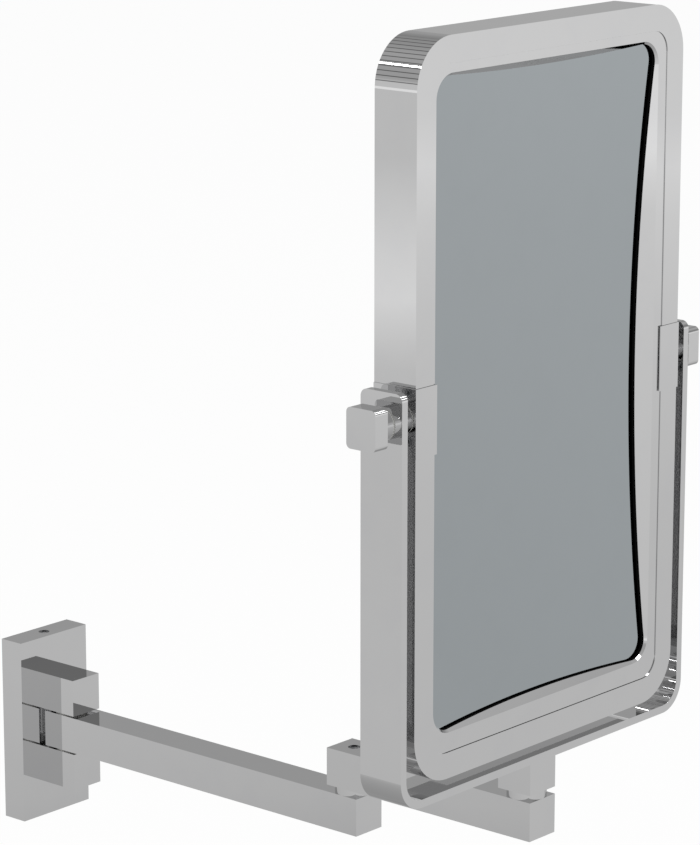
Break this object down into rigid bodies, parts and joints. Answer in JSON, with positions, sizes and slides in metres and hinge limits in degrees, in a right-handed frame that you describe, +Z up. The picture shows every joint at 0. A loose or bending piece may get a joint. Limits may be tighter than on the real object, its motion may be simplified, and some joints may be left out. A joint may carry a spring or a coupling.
{
  "type": "extendable makeup mirror",
  "caption": "Wall-mounted swing-arm makeup mirror: flat wall plate with fork, jointed square bars, U-shaped yoke and a tilting two-sided rectangular mirror.",
  "frame": {"origin": "middle of the wall plate's back face, on the wall", "axes": "+Z up, +Y into the wall, +X to the right of a person who faces the mirror; the object stands out along -Y"},
  "size_m": [0.201, 0.288, 0.3753],
  "materials": {
    "chrome": "polished chrome plating",
    "steel": "plain stainless steel",
    "chromed_plastic": "moulded plastic with a polished chrome plating",
    "mirror_glass": "silvered glass",
    "black_rubber": "matt black",
    "nylon": "natural nylon",
    "foam": "soft closed-cell foam",
    "board": "plain sheet"
  },
  "bodies": {
    "wall_mount": {"wall_cover_plate": "chrome", "wall_bracket": "steel", "grub_screw": "steel", "upper_jaw": "chrome", "lower_jaw": "chrome", "jaw_screws": "steel", "fork_pin": "steel", "fork_washers": "nylon"},
    "inner_link": {"inner_arm": "chrome"},
    "outer_link": {"outer_arm": "chrome", "elbow_spacer": "chrome", "elbow_pin": "steel", "elbow_spring_washer": "steel", "elbow_lock_screw": "steel"},
    "yoke_set": {"yoke": "chrome", "yoke_block": "chrome", "yoke_spacer": "chrome", "yoke_pin": "steel", "yoke_spring_washer": "steel", "yoke_lock_screw": "steel", "yoke_screws": "steel", "yoke_washers": "nylon"},
    "mirror_head": {"mirror_frame": "chrome", "front_bezel": "chromed_plastic", "front_gasket": "black_rubber", "magnifying_glass": "mirror_glass", "foam_pad": "foam", "backing_board": "board", "plain_glass": "mirror_glass", "back_gasket": "black_rubber", "rear_ring": "chromed_plastic", "ring_screws": "steel", "left_clip": "chrome", "right_clip": "chrome", "pivot_bosses": "chrome", "clip_screws": "steel", "pivot_nuts": "steel"},
    "left_knob_set": {"left_knob": "chrome", "left_stud": "steel"},
    "right_knob_set": {"right_knob": "chrome", "right_stud": "steel"}
  },
  "joints": [
    {"name": "arm_swing", "type": "hinge", "parent": "wall_mount", "child": "inner_link", "pos_m": [0, -0.0226, 0], "axis": [0, 0, 1], "range_deg": [-90, 90]},
    {"name": "elbow_swing", "type": "hinge", "parent": "inner_link", "child": "outer_link", "pos_m": [0, -0.1876, 0], "axis": [0, 0, 1], "continuous": true},
    {"name": "yoke_swivel", "type": "hinge", "parent": "outer_link", "child": "yoke_set", "pos_m": [0, -0.2776, 0], "axis": [0, 0, 1], "continuous": true},
    {"name": "mirror_tilt", "type": "hinge", "parent": "yoke_set", "child": "mirror_head", "pos_m": [0, -0.2776, 0.193], "axis": [1, 0, 0], "continuous": true},
    {"name": "left_knob_turn", "type": "hinge", "parent": "mirror_head", "child": "left_knob_set", "pos_m": [-0.0935, -0.2776, 0.193], "axis": [-1, 0, 0], "range_deg": [0, 360]},
    {"name": "right_knob_turn", "type": "hinge", "parent": "mirror_head", "child": "right_knob_set", "pos_m": [0.0935, -0.2776, 0.193], "axis": [1, 0, 0], "range_deg": [0, 360]}
  ]
}
